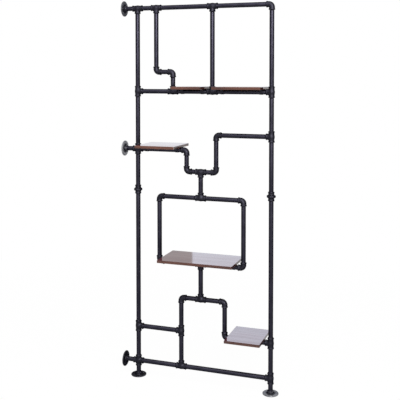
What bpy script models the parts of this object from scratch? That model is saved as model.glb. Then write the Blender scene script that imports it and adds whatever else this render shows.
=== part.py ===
# An industrial bookcase: a flat frame of threaded steel pipe and cast fittings that stands
# square to a wall, with five wooden shelves strapped on top of its level pipes.
#
# The axis of every pipe lies on the plane y = 0. +X runs from the wall to the free side, -Y
# faces the viewer and +Z is up. Lengths are in metres. The origin is on the floor, under the
# middle of the whole object.

import math

import bmesh
import bpy
from mathutils import Matrix, Vector

NAME = "pipe_bookcase"

# Steel pipe of 3/4 inch nominal size.
PIPE_DIAMETER = 0.0267
PIPE_WALL = 0.0028

# Clearance between pieces that touch, and how far a cutter runs past the face that it opens.
FIT = 0.0003
OVERRUN = 0.005

# Cast fittings. Each arm takes a length of pipe, and has a raised band round its mouth.
FITTING_WALL = 0.0029
BAND_RISE = 0.0017
BAND_LENGTH = 0.006
BAND_SHOULDER = 0.001
ENGAGEMENT = 0.0135
CROTCH = 0.001

# Unions, which let the two long posts be joined in the middle.
UNION_LENGTH = 0.051
UNION_NUT_WIDTH = 0.0525
UNION_NUT_LENGTH = 0.018
UNION_PIPE_GAP = 0.006

# Flanges, screwed to the wall and to the floor.
FLANGE_DIAMETER = 0.090
FLANGE_THICKNESS = 0.006
FLANGE_HUB_RISE = 0.013
FLANGE_HOLE_DIAMETER = 0.006
FLANGE_PIPE_INSET = 0.004

# Shelves, and the straps that hold them on the pipes.
SHELF_DEPTH = 0.250
SHELF_THICKNESS = 0.016
SHELF_END_GAP = 0.002
SHELF_EDGE_EASE = 0.0015
STRAP_WIDTH = 0.019
STRAP_THICKNESS = 0.0016
STRAP_EAR = 0.020
STRAP_INSET = 0.026
STRAP_SINK = 0.0006

# Heights, each from the level under it, between the axes of the pipes.
BASE_RAIL_HEIGHT = 0.088
LOWER_SHELF_RISE = 0.200
LEFT_BAR_RISE = 0.209
BRIDGE_RISE = 0.206
LOWER_STEM_LENGTH = 0.206
LOOP_HEIGHT = 0.383
UPPER_STEM_LENGTH = 0.151
TRAP_DEPTH = 0.123
RIGHT_RAIL_RISE = 0.214
UPPER_SHELF_RISE = 0.339
OFFSET_RISE = 0.113
TOP_RISE = 0.372
UNION_DROP = 0.118

# Places along the frame, each from the piece to its left, between the axes of the pipes.
WALL_REACH = 0.088
LEFT_DROP_SPACING = 0.118
OFFSET_LENGTH = 0.104
UPPER_LEFT_BAY = 0.240
UPPER_RIGHT_BAY = 0.345
MIDDLE_BAY = 0.306
TRAP_LEFT_LENGTH = 0.086
TRAP_RIGHT_LENGTH = 0.093
LOOP_HALF_WIDTH = 0.2555
BRIDGE_LEFT_LENGTH = 0.120
BRIDGE_RIGHT_LENGTH = 0.145

# How finely round shapes are divided. A curve's bevel has four sides more than twice its
# resolution, and every pipe and bore has the same sides, so that their facets run together.
BEVEL_RESOLUTION = 4
SIDES = 4 + 2 * BEVEL_RESOLUTION
FLANGE_SIDES = 24
NUT_SIDES = 8
HOLE_SIDES = 6
FLANGE_HOLES = 4
BEND_SEGMENTS = 3
STRAP_SEGMENTS = 6

# Sizes that follow from those above.
PIPE_RADIUS = PIPE_DIAMETER / 2
BORE_RADIUS = PIPE_RADIUS - PIPE_WALL
SOCKET_RADIUS = PIPE_RADIUS + FIT
BODY_RADIUS = SOCKET_RADIUS + FITTING_WALL
BAND_RADIUS = BODY_RADIUS + BAND_RISE
STOP = BODY_RADIUS + CROTCH
REACH = STOP + ENGAGEMENT
FLANGE_RADIUS = FLANGE_DIAMETER / 2
FLANGE_HEIGHT = FLANGE_THICKNESS + FLANGE_HUB_RISE
FLANGE_HOLE_CIRCLE = (BAND_RADIUS + FLANGE_RADIUS) / 2

BASE_RAIL_Z = BASE_RAIL_HEIGHT
LOWER_SHELF_Z = BASE_RAIL_Z + LOWER_SHELF_RISE
LEFT_BAR_Z = BASE_RAIL_Z + LEFT_BAR_RISE
BRIDGE_Z = LOWER_SHELF_Z + BRIDGE_RISE
LOOP_BOTTOM_Z = BRIDGE_Z + LOWER_STEM_LENGTH
LOOP_TOP_Z = LOOP_BOTTOM_Z + LOOP_HEIGHT
TRAP_Z = LOOP_TOP_Z + UPPER_STEM_LENGTH
MIDDLE_SHELF_Z = TRAP_Z + TRAP_DEPTH
RIGHT_RAIL_Z = TRAP_Z + RIGHT_RAIL_RISE
UPPER_SHELF_Z = MIDDLE_SHELF_Z + UPPER_SHELF_RISE
OFFSET_Z = UPPER_SHELF_Z + OFFSET_RISE
TOP_RAIL_Z = OFFSET_Z + TOP_RISE
UNION_Z = TRAP_Z - UNION_DROP

LEFT_POST_X = WALL_REACH
LEFT_DROP_X = LEFT_POST_X + LEFT_DROP_SPACING
HANGER_X = LEFT_DROP_X + OFFSET_LENGTH
CENTRE_DROP_X = HANGER_X + UPPER_LEFT_BAY
RIGHT_POST_X = CENTRE_DROP_X + UPPER_RIGHT_BAY
TRAP_LEFT_X = LEFT_POST_X + MIDDLE_BAY
STEM_X = TRAP_LEFT_X + TRAP_LEFT_LENGTH
RISER_X = STEM_X + TRAP_RIGHT_LENGTH
LOOP_LEFT_X = STEM_X - LOOP_HALF_WIDTH
LOOP_RIGHT_X = STEM_X + LOOP_HALF_WIDTH
BRIDGE_LEFT_X = STEM_X - BRIDGE_LEFT_LENGTH
BRIDGE_RIGHT_X = STEM_X + BRIDGE_RIGHT_LENGTH
MIDDLE_OF_WIDTH = (RIGHT_POST_X + FLANGE_RADIUS) / 2

# Turns about the Y axis, named for the way the branch or the arms point.
RIGHT = UP_RIGHT = 0.0
DOWN = DOWN_RIGHT = math.radians(90)
LEFT = DOWN_LEFT = math.radians(180)
UP = UP_LEFT = math.radians(270)
ALONG = math.radians(90)

# Faces that meet at less than this are one flat face, and edges sharper than this show.
FLAT = math.radians(0.2)
SHARP = math.radians(40)


def start_again():
    """Take away what the scene holds, and make the two collections."""
    for thing in list(bpy.data.objects):
        bpy.data.objects.remove(thing, do_unlink=True)
    for collection in list(bpy.data.collections):
        bpy.data.collections.remove(collection)
    made = []
    for name in (NAME, "cutters"):
        collection = bpy.data.collections.new(name)
        bpy.context.scene.collection.children.link(collection)
        made.append(collection)
    return made


def finish(name, colour, roughness, metallic):
    """A plain finish: a colour, how rough it is and how metallic."""
    material = bpy.data.materials.new(name)
    material.use_nodes = True
    shader = material.node_tree.nodes["Principled BSDF"]
    shader.inputs["Base Color"].default_value = (*colour, 1)
    shader.inputs["Roughness"].default_value = roughness
    shader.inputs["Metallic"].default_value = metallic
    material.diffuse_color = (*colour, 1)
    return material


PARTS, CUTTERS = start_again()
FRAME = bpy.data.objects.new("frame_origin", None)
FRAME.location = (-MIDDLE_OF_WIDTH, 0, 0)
PARTS.objects.link(FRAME)

PIPE_BLACK = finish("pipe_black", (0.030, 0.031, 0.040), 0.42, 0.6)
FITTING_BLACK = finish("fitting_black", (0.024, 0.025, 0.031), 0.50, 0.5)
FLANGE_BLACK = finish("flange_black", (0.027, 0.028, 0.034), 0.48, 0.5)
UNION_BLACK = finish("union_black", (0.026, 0.027, 0.033), 0.45, 0.6)
SHELF_WALNUT = finish("shelf_walnut", (0.150, 0.075, 0.045), 0.22, 0.0)


def scratch(mesh):
    """A helper object that never shows, for a modifier to work on or with."""
    helper = bpy.data.objects.new(mesh.name, mesh)
    helper.hide_render = True
    helper.display_type = "WIRE"
    CUTTERS.objects.link(helper)
    return helper


def evaluated(helper):
    """The mesh that a helper object gives with its modifiers, with its loose caps joined."""
    graph = bpy.context.evaluated_depsgraph_get()
    mesh = bpy.data.meshes.new_from_object(helper.evaluated_get(graph))
    shape = bmesh.new()
    shape.from_mesh(mesh)
    bmesh.ops.remove_doubles(shape, verts=shape.verts, dist=FIT / 10)
    bmesh.ops.dissolve_limit(shape, angle_limit=FLAT, verts=shape.verts, edges=shape.edges)
    shape.to_mesh(mesh)
    shape.free()
    bpy.data.objects.remove(helper, do_unlink=True)
    return mesh


def turned(profile, sides=SIDES):
    """A ring made by turning a closed profile of (radius, height) points round the Z axis."""
    mesh = bpy.data.meshes.new("turned")
    points = [(radius, 0, height) for radius, height in profile]
    count = len(points)
    mesh.from_pydata(points, [(i, (i + 1) % count) for i in range(count)], [])
    helper = scratch(mesh)
    screw = helper.modifiers.new("turn", "SCREW")
    screw.axis = "Z"
    screw.angle = math.tau
    screw.steps = screw.render_steps = sides
    screw.use_merge_vertices = True
    screw.merge_threshold = FIT / 10
    return evaluated(helper)


def swept(path):
    """A closed round bar along a path of (place, radius) pairs."""
    curve = bpy.data.curves.new("swept", "CURVE")
    curve.dimensions = "3D"
    curve.bevel_depth = PIPE_RADIUS
    curve.bevel_resolution = BEVEL_RESOLUTION
    curve.use_fill_caps = True
    spline = curve.splines.new("POLY")
    spline.points.add(len(path) - 1)
    for point, (place, radius) in zip(spline.points, path):
        point.co = (*place, 1)
        point.radius = radius / PIPE_RADIUS
    return evaluated(scratch(curve))


def prism(radius, height, sides, middle=(0, 0, 0)):
    """A closed upright prism, centred on a point."""
    shape = bmesh.new()
    bmesh.ops.create_cone(
        shape, cap_ends=True, segments=sides, radius1=radius, radius2=radius, depth=height,
        matrix=Matrix.Translation(middle))
    mesh = bpy.data.meshes.new("prism")
    shape.to_mesh(mesh)
    shape.free()
    return mesh


def quarter_turns(angle, axis):
    """A turn by whole right angles, with no rounding left in it."""
    turn = Matrix.Rotation(angle, 4, axis)
    return Matrix([[round(value) for value in row] for row in turn])


def moved(mesh, x, z, turn=0.0):
    """A copy of a mesh, turned about the Y axis and moved on the frame's plane."""
    copy = mesh.copy()
    copy.transform(Matrix.Translation((x, 0, z)) @ quarter_turns(turn, "Y"))
    return copy


def fused(solids, cutters=()):
    """One solid from several that overlap, with the cutters taken away."""
    body = scratch(solids[0])
    helpers = []
    steps = [(mesh, "UNION") for mesh in solids[1:]] + [(mesh, "DIFFERENCE") for mesh in cutters]
    for mesh, operation in steps:
        helper = scratch(mesh)
        helpers.append(helper)
        modifier = body.modifiers.new(operation.lower(), "BOOLEAN")
        modifier.operation = operation
        modifier.solver = "EXACT"
        modifier.object = helper
    mesh = evaluated(body)
    for helper in helpers:
        bpy.data.objects.remove(helper, do_unlink=True)
    return mesh


def add(name, mesh, material, x, z, turn=0.0, smooth=True):
    """One piece of the bookcase, placed on the frame's plane."""
    if not mesh.materials:
        mesh.materials.append(material)
    if smooth:
        mesh.shade_smooth()
        mesh.set_sharp_from_angle(angle=SHARP)
    mesh.name = name
    piece = bpy.data.objects.new(name, mesh)
    piece.parent = FRAME
    piece.location = (x, 0, z)
    piece.rotation_euler = (0, turn, 0)
    PARTS.objects.link(piece)
    return piece


def mouth(direction, centre=(0, 0, 0)):
    """The end of a fitting's arm, from its rim in to its body, as (place, radius) pairs."""
    direction = Vector(direction)
    centre = Vector(centre)
    return [
        (centre + direction * REACH, BAND_RADIUS),
        (centre + direction * (REACH - BAND_LENGTH), BAND_RADIUS),
        (centre + direction * (REACH - BAND_LENGTH - BAND_SHOULDER), BODY_RADIUS),
    ]


def bend(back, ahead, centre=(0, 0, 0)):
    """The quarter circle between an elbow's two arms, from the one behind to the one ahead."""
    places = []
    for step in range(BEND_SEGMENTS + 1):
        angle = math.radians(90) * step / BEND_SEGMENTS
        out = Vector(back) * (1 - math.sin(angle)) + Vector(ahead) * (1 - math.cos(angle))
        places.append(Vector(centre) + out * STOP)
    return places


def bore(*directions):
    """A cutter for the socket that runs from arm to arm, or from the middle out of one arm."""
    ends = [Vector(direction) * (REACH + OVERRUN) for direction in directions]
    if len(ends) == 1:
        ends.insert(0, Vector((0, 0, 0)))
    return swept([(place, SOCKET_RADIUS) for place in ends])


def run(direction):
    """A fitting's straight body, with a mouth at each end."""
    back = [-value for value in direction]
    return swept(mouth(direction) + mouth(back)[::-1])


def branch(direction):
    """A tee's side arm, which starts inside its run."""
    return swept([((0, 0, 0), BODY_RADIUS)] + mouth(direction)[::-1])


def tee_mesh():
    """A tee whose run is upright and whose branch points right."""
    cutters = [bore((0, 0, 1), (0, 0, -1)), bore((1, 0, 0))]
    return fused([run((0, 0, 1)), branch((1, 0, 0))], cutters)


def cross_mesh():
    """A cross with four arms."""
    cutters = [bore((0, 0, 1), (0, 0, -1)), bore((1, 0, 0), (-1, 0, 0))]
    return fused([run((0, 0, 1)), run((1, 0, 0))], cutters)


def elbow_mesh():
    """An elbow whose arms point up and right."""
    return joined([("mouth", 0, REACH), ("elbow", 0, 0), ("mouth", REACH, 0)])


def joined(stops, solids=(), cutters=()):
    """One piece of pipe and fittings along a bent line, hollow from end to end.

    Each stop is (kind, x, z). The kinds are elbow and tee, with the nipples between them, and at
    the two ends mouth, the rim of the first or last fitting, or cut, a plain end of pipe.
    """
    places = [Vector((x, 0, z)) for kind, x, z in stops]
    outside, inside = [], []
    for number, (kind, x, z) in enumerate(stops):
        here = places[number]
        back = ahead = None
        if number > 0:
            back = (places[number - 1] - here).normalized()
        if number < len(stops) - 1:
            ahead = (places[number + 1] - here).normalized()
        if kind in ("mouth", "cut"):
            outward = -(ahead or back)
            hollow = SOCKET_RADIUS if kind == "mouth" else BORE_RADIUS
            inside.append((here + outward * OVERRUN, hollow))
            if kind == "cut":
                outside.append((here, PIPE_RADIUS))
            continue
        if stops[number - 1][0] != "mouth":
            outside.append((here + back * (REACH + BAND_SHOULDER), PIPE_RADIUS))
        outside += mouth(back, here)
        if kind == "elbow":
            curve = bend(back, ahead, here)
            outside += [(place, BODY_RADIUS) for place in curve]
            half = len(curve) // 2
            for step, place in enumerate(curve):
                nearer = number - 1 if step < half else number + 1
                open_end = stops[nearer][0] == "mouth"
                inside.append((place, SOCKET_RADIUS if open_end else BORE_RADIUS))
        outside += mouth(ahead, here)[::-1]
        if stops[number + 1][0] != "mouth":
            outside.append((here + ahead * (REACH + BAND_SHOULDER), PIPE_RADIUS))
    return fused([swept(outside), *solids], [swept(inside), *cutters])


def union_mesh():
    """A pipe union: a sleeve with a big eight-sided nut round its middle."""
    half = UNION_LENGTH / 2
    sleeve = turned([
        (BAND_RADIUS, half), (BAND_RADIUS, -half), (BORE_RADIUS, -half), (BORE_RADIUS, half)])
    nut = prism(UNION_NUT_WIDTH / 2, UNION_NUT_LENGTH, NUT_SIDES)
    far = half + OVERRUN
    passage = swept([((0, 0, far), SOCKET_RADIUS), ((0, 0, -far), SOCKET_RADIUS)])
    return fused([sleeve, nut], [passage])


def flange_mesh(nipple=0):
    """A flange with its face at z = 0, its threaded hub and, if it has one, its nipple."""
    hub_low = FLANGE_THICKNESS / 2
    hub_rise = FLANGE_HEIGHT - hub_low
    solids = [
        prism(FLANGE_RADIUS, FLANGE_THICKNESS, FLANGE_SIDES, (0, 0, FLANGE_THICKNESS / 2)),
        prism(BAND_RADIUS, hub_rise, SIDES, (0, 0, hub_low + hub_rise / 2)),
    ]
    hollow = SOCKET_RADIUS
    top = FLANGE_HEIGHT
    if nipple:
        solids.append(swept([((0, 0, hub_low), PIPE_RADIUS), ((0, 0, nipple), PIPE_RADIUS)]))
        hollow = BORE_RADIUS
        top = nipple
    cutters = [swept([((0, 0, -OVERRUN), hollow), ((0, 0, top + OVERRUN), hollow)])]
    for number in range(FLANGE_HOLES):
        angle = math.tau * (number + 0.5) / FLANGE_HOLES
        middle = (FLANGE_HOLE_CIRCLE * math.cos(angle), FLANGE_HOLE_CIRCLE * math.sin(angle), 0)
        depth = 2 * (FLANGE_THICKNESS + OVERRUN)
        cutters.append(prism(FLANGE_HOLE_DIAMETER / 2, depth, HOLE_SIDES, middle))
    return fused(solids, cutters)


def pipe_mesh(length):
    """A plain length of pipe that rises from z = 0."""
    return turned([
        (PIPE_RADIUS, length), (PIPE_RADIUS, 0), (BORE_RADIUS, 0), (BORE_RADIUS, length)])


def strap_mesh(seat):
    """A strap under a pipe along X, with its two ears at the height of the shelf's underside."""
    inner = PIPE_RADIUS - STRAP_SINK
    outer = PIPE_RADIUS + STRAP_THICKNESS
    tip = outer + STRAP_EAR
    under = seat - STRAP_THICKNESS
    outline = [(-tip, seat), (-inner, seat)]
    for step in range(STRAP_SEGMENTS + 1):
        angle = math.pi * (1 + step / STRAP_SEGMENTS)
        outline.append((inner * math.cos(angle), inner * math.sin(angle)))
    outline += [(inner, seat), (tip, seat), (tip, under), (outer, under)]
    for step in range(STRAP_SEGMENTS + 1):
        angle = -math.pi * step / STRAP_SEGMENTS
        outline.append((outer * math.cos(angle), outer * math.sin(angle)))
    outline += [(-outer, under), (-tip, under)]
    curve = bpy.data.curves.new("strap", "CURVE")
    curve.dimensions = "2D"
    curve.fill_mode = "BOTH"
    curve.extrude = STRAP_WIDTH / 2
    spline = curve.splines.new("POLY")
    spline.use_cyclic_u = True
    spline.points.add(len(outline) - 1)
    for point, (across, up) in zip(spline.points, outline):
        point.co = (across, up, 0, 1)
    mesh = evaluated(scratch(curve))
    upended = quarter_turns(math.radians(90), "X")
    mesh.transform(quarter_turns(math.radians(90), "Z") @ upended)
    return mesh


TEE = tee_mesh()
CROSS = cross_mesh()
ELBOW = elbow_mesh()
UNION = union_mesh()
FLANGE = flange_mesh()


def upright(name, x, low, high):
    """A pipe that stands between two heights."""
    add(name, pipe_mesh(high - low), PIPE_BLACK, x, low)


def level(name, z, left, right):
    """A pipe that lies between two places."""
    add(name, pipe_mesh(right - left), PIPE_BLACK, left, z, ALONG)


def shelf_rail(name, z, left, right, shelves, seat):
    """A level pipe with the straps of the shelves that it carries."""
    solids = [moved(pipe_mesh(right - left), 0, 0, ALONG)]
    strap = strap_mesh(seat)
    for start, end in shelves:
        for middle in (start + STRAP_INSET, end - STRAP_INSET):
            solids.append(moved(strap, middle - left, 0))
    add(name, fused(solids), PIPE_BLACK, left, z)


def shelf(name, z, ends, seat):
    """A board that lies on its pipe, or on its tee where that stands higher."""
    left, right = ends
    shape = bmesh.new()
    bmesh.ops.create_cube(shape, size=1)
    size = (right - left, SHELF_DEPTH, SHELF_THICKNESS)
    bmesh.ops.scale(shape, vec=size, verts=shape.verts)
    mesh = bpy.data.meshes.new(name)
    shape.to_mesh(mesh)
    shape.free()
    height = z + seat + FIT + SHELF_THICKNESS / 2
    board = add(name, mesh, SHELF_WALNUT, (left + right) / 2, height, smooth=False)
    ease = board.modifiers.new("eased_edges", "BEVEL")
    ease.width = SHELF_EDGE_EASE
    ease.segments = 1


def bay(left, right):
    """The two ends of a shelf between the arms of the fittings at each side."""
    return left + REACH + SHELF_END_GAP, right - REACH - SHELF_END_GAP


# The wall side: the long post in two lengths, with its flanges, crosses and tees.
POST_FOOT = FLANGE_PIPE_INSET
UNION_GAP = UNION_PIPE_GAP / 2
upright("left_post_lower", LEFT_POST_X, POST_FOOT, UNION_Z - UNION_GAP)
upright("left_post_upper", LEFT_POST_X, UNION_Z + UNION_GAP, TOP_RAIL_Z - STOP)
add("union_left", UNION, UNION_BLACK, LEFT_POST_X, UNION_Z)
add("foot_flange_left", FLANGE, FLANGE_BLACK, LEFT_POST_X, 0)
add("wall_flange_top", FLANGE, FLANGE_BLACK, 0, TOP_RAIL_Z, ALONG)
WALL_FLANGE = flange_mesh(LEFT_POST_X - STOP)
add("wall_flange_middle", WALL_FLANGE, FLANGE_BLACK, 0, MIDDLE_SHELF_Z, ALONG)
add("wall_flange_bottom", WALL_FLANGE, FLANGE_BLACK, 0, BASE_RAIL_Z, ALONG)
add("cross_middle", CROSS, FITTING_BLACK, LEFT_POST_X, MIDDLE_SHELF_Z)
add("cross_bottom", CROSS, FITTING_BLACK, LEFT_POST_X, BASE_RAIL_Z)
add("tee_left_post_upper_shelf", TEE, FITTING_BLACK, LEFT_POST_X, UPPER_SHELF_Z, RIGHT)
add("tee_left_post_bar", TEE, FITTING_BLACK, LEFT_POST_X, LEFT_BAR_Z, RIGHT)

# The free side: the other long post.
upright("right_post_lower", RIGHT_POST_X, POST_FOOT, UNION_Z - UNION_GAP)
upright("right_post_upper", RIGHT_POST_X, UNION_Z + UNION_GAP, TOP_RAIL_Z - STOP)
add("union_right", UNION, UNION_BLACK, RIGHT_POST_X, UNION_Z)
add("foot_flange_right", FLANGE, FLANGE_BLACK, RIGHT_POST_X, 0)
add("tee_right_post_upper_shelf", TEE, FITTING_BLACK, RIGHT_POST_X, UPPER_SHELF_Z, LEFT)
add("tee_right_post_rail", TEE, FITTING_BLACK, RIGHT_POST_X, RIGHT_RAIL_Z, LEFT)
add("tee_right_post_lower_shelf", TEE, FITTING_BLACK, RIGHT_POST_X, LOWER_SHELF_Z, LEFT)
add("tee_right_post_base", TEE, FITTING_BLACK, RIGHT_POST_X, BASE_RAIL_Z, LEFT)

# The top rail, which runs from the wall to the corner, and what hangs from it.
level("top_rail", TOP_RAIL_Z, FLANGE_PIPE_INSET, RIGHT_POST_X - STOP)
add("elbow_top_corner", ELBOW, FITTING_BLACK, RIGHT_POST_X, TOP_RAIL_Z, DOWN_LEFT)
add("tee_top_left_post", TEE, FITTING_BLACK, LEFT_POST_X, TOP_RAIL_Z, DOWN)
add("tee_top_left_drop", TEE, FITTING_BLACK, LEFT_DROP_X, TOP_RAIL_Z, DOWN)
add("tee_top_centre_drop", TEE, FITTING_BLACK, CENTRE_DROP_X, TOP_RAIL_Z, DOWN)
upright("left_drop", LEFT_DROP_X, OFFSET_Z + STOP, TOP_RAIL_Z - STOP)
upright("centre_drop", CENTRE_DROP_X, UPPER_SHELF_Z + STOP, TOP_RAIL_Z - STOP)
OFFSET = joined([
    ("mouth", 0, REACH), ("elbow", 0, 0), ("elbow", OFFSET_LENGTH, 0),
    ("cut", OFFSET_LENGTH, STOP - OFFSET_RISE)])
add("left_offset_bend", OFFSET, FITTING_BLACK, LEFT_DROP_X, OFFSET_Z)

# The upper shelves and their rail.
UPPER_LEFT_SHELF = bay(HANGER_X, CENTRE_DROP_X)
UPPER_RIGHT_SHELF = bay(CENTRE_DROP_X, RIGHT_POST_X)
shelf_rail("upper_shelf_rail", UPPER_SHELF_Z, LEFT_POST_X + STOP, RIGHT_POST_X - STOP,
           [UPPER_LEFT_SHELF, UPPER_RIGHT_SHELF], PIPE_RADIUS)
add("tee_upper_shelf_hanger", TEE, FITTING_BLACK, HANGER_X, UPPER_SHELF_Z, UP)
add("tee_upper_shelf_centre", TEE, FITTING_BLACK, CENTRE_DROP_X, UPPER_SHELF_Z, UP)
shelf("shelf_upper_left", UPPER_SHELF_Z, UPPER_LEFT_SHELF, PIPE_RADIUS)
shelf("shelf_upper_right", UPPER_SHELF_Z, UPPER_RIGHT_SHELF, PIPE_RADIUS)

# The middle shelf, and the bend beside it that drops and rises again like a trap.
MIDDLE_SHELF = bay(LEFT_POST_X, TRAP_LEFT_X)
shelf_rail("middle_shelf_rail", MIDDLE_SHELF_Z, LEFT_POST_X + STOP, TRAP_LEFT_X - STOP,
           [MIDDLE_SHELF], PIPE_RADIUS)
shelf("shelf_middle", MIDDLE_SHELF_Z, MIDDLE_SHELF, PIPE_RADIUS)
TRAP_LENGTH = TRAP_LEFT_LENGTH + TRAP_RIGHT_LENGTH
STEM_END = STOP - UPPER_STEM_LENGTH
STEM = swept([
    ((0, 0, 0), BODY_RADIUS), *mouth((0, 0, -1))[::-1],
    ((0, 0, -REACH - BAND_SHOULDER), PIPE_RADIUS), ((0, 0, STEM_END), PIPE_RADIUS)])
STEM_BORE = swept([
    ((0, 0, 0), BORE_RADIUS - FIT), ((0, 0, -STOP), BORE_RADIUS),
    ((0, 0, STEM_END - OVERRUN), BORE_RADIUS)])
TRAP = joined(
    [("mouth", -REACH, TRAP_DEPTH), ("elbow", 0, TRAP_DEPTH), ("elbow", 0, 0),
     ("tee", TRAP_LEFT_LENGTH, 0), ("elbow", TRAP_LENGTH, 0), ("mouth", TRAP_LENGTH, REACH)],
    [moved(STEM, TRAP_LEFT_LENGTH, 0)], [moved(STEM_BORE, TRAP_LEFT_LENGTH, 0)])
add("middle_trap_bend", TRAP, FITTING_BLACK, TRAP_LEFT_X, TRAP_Z)
upright("right_riser", RISER_X, TRAP_Z + STOP, RIGHT_RAIL_Z - STOP)
add("elbow_right_rail", ELBOW, FITTING_BLACK, RISER_X, RIGHT_RAIL_Z, DOWN_RIGHT)
level("right_rail", RIGHT_RAIL_Z, RISER_X + STOP, RIGHT_POST_X - STOP)

# The loop that carries the large shelf in the middle.
CENTRE_SHELF = bay(LOOP_LEFT_X, LOOP_RIGHT_X)
add("tee_loop_top", TEE, FITTING_BLACK, STEM_X, LOOP_TOP_Z, UP)
add("tee_loop_bottom", TEE, FITTING_BLACK, STEM_X, LOOP_BOTTOM_Z, DOWN)
add("elbow_loop_top_left", ELBOW, FITTING_BLACK, LOOP_LEFT_X, LOOP_TOP_Z, DOWN_RIGHT)
add("elbow_loop_top_right", ELBOW, FITTING_BLACK, LOOP_RIGHT_X, LOOP_TOP_Z, DOWN_LEFT)
add("elbow_loop_bottom_left", ELBOW, FITTING_BLACK, LOOP_LEFT_X, LOOP_BOTTOM_Z, UP_RIGHT)
add("elbow_loop_bottom_right", ELBOW, FITTING_BLACK, LOOP_RIGHT_X, LOOP_BOTTOM_Z, UP_LEFT)
level("loop_top_pipe", LOOP_TOP_Z, LOOP_LEFT_X + STOP, LOOP_RIGHT_X - STOP)
upright("loop_left_pipe", LOOP_LEFT_X, LOOP_BOTTOM_Z + STOP, LOOP_TOP_Z - STOP)
upright("loop_right_pipe", LOOP_RIGHT_X, LOOP_BOTTOM_Z + STOP, LOOP_TOP_Z - STOP)
shelf_rail("loop_bottom_pipe", LOOP_BOTTOM_Z, LOOP_LEFT_X + STOP, LOOP_RIGHT_X - STOP,
           [CENTRE_SHELF], BAND_RADIUS)
shelf("shelf_centre", LOOP_BOTTOM_Z, CENTRE_SHELF, BAND_RADIUS)

# The lower part: the bridge under the loop, its two legs, and the lowest shelf.
upright("lower_stem", STEM_X, BRIDGE_Z + STOP, LOOP_BOTTOM_Z - STOP)
BRIDGE_LENGTH = BRIDGE_LEFT_LENGTH + BRIDGE_RIGHT_LENGTH
BRIDGE = joined(
    [("mouth", 0, -REACH), ("elbow", 0, 0), ("tee", BRIDGE_LEFT_LENGTH, 0),
     ("elbow", BRIDGE_LENGTH, 0), ("mouth", BRIDGE_LENGTH, -REACH)],
    [moved(branch((0, 0, 1)), BRIDGE_LEFT_LENGTH, 0)],
    [moved(bore((0, 0, 1)), BRIDGE_LEFT_LENGTH, 0)])
add("bridge_bend", BRIDGE, FITTING_BLACK, BRIDGE_LEFT_X, BRIDGE_Z)
upright("bridge_left_leg", BRIDGE_LEFT_X, BASE_RAIL_Z + STOP, BRIDGE_Z - STOP)
upright("bridge_right_leg", BRIDGE_RIGHT_X, LOWER_SHELF_Z + STOP, BRIDGE_Z - STOP)
add("tee_left_bar", TEE, FITTING_BLACK, BRIDGE_LEFT_X, LEFT_BAR_Z, LEFT)
level("left_bar", LEFT_BAR_Z, LEFT_POST_X + STOP, BRIDGE_LEFT_X - STOP)
add("elbow_lower_shelf", ELBOW, FITTING_BLACK, BRIDGE_RIGHT_X, LOWER_SHELF_Z, UP_RIGHT)
LOWER_SHELF = bay(BRIDGE_RIGHT_X, RIGHT_POST_X)
shelf_rail("lower_shelf_rail", LOWER_SHELF_Z, BRIDGE_RIGHT_X + STOP, RIGHT_POST_X - STOP,
           [LOWER_SHELF], PIPE_RADIUS)
shelf("shelf_lower_right", LOWER_SHELF_Z, LOWER_SHELF, PIPE_RADIUS)
level("base_rail", BASE_RAIL_Z, LEFT_POST_X + STOP, RIGHT_POST_X - STOP)
add("tee_base_rail", TEE, FITTING_BLACK, BRIDGE_LEFT_X, BASE_RAIL_Z, UP)
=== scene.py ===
import math

import bmesh
import bpy
from mathutils import Matrix, Vector


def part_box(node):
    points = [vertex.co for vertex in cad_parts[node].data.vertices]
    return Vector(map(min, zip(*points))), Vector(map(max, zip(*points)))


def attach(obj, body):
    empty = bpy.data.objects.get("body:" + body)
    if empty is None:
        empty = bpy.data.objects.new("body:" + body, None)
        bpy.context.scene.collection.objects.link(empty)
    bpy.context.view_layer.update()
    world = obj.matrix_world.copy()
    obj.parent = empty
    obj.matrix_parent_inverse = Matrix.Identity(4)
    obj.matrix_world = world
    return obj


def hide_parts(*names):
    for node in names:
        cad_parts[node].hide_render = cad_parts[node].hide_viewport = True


# An industrial bookcase of black threaded pipe and walnut boards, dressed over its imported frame.
#
# The axes of all the pipes lie on the plane y = 0. +X runs from the wall side to the free side,
# -Y faces the viewer and +Z is up. Lengths are in metres.

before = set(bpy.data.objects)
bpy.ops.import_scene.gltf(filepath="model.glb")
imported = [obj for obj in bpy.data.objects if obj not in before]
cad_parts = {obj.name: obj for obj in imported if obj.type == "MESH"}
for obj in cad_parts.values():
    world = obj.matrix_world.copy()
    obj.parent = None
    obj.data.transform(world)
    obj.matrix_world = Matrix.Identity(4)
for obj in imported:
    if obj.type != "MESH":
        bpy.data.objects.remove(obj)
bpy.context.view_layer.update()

X, Y, Z = 0, 1, 2


def span(node, axis):
    """How far a node reaches along an axis."""
    low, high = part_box(node)
    return high[axis] - low[axis]


def middle(node):
    """The middle of a node's box."""
    low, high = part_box(node)
    return (low + high) / 2


# Sizes that the frame gives. The mouths of a cross are a reach away from its middle, and the
# solid of a pipe stops between the two.
PIPE_RADIUS = span("right_riser", Y) / 2
BAND_RADIUS = span("cross_middle", Y) / 2
REACH = span("cross_middle", Z) / 2
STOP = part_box("middle_shelf_rail")[0].x - middle("cross_middle").x
UNION_LENGTH = span("union_left", Z)
NUT_WIDTH = span("union_left", Y)
FLANGE_RADIUS = span("foot_flange_left", Y) / 2
FLANGE_HEIGHT = span("foot_flange_left", Z)

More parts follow.
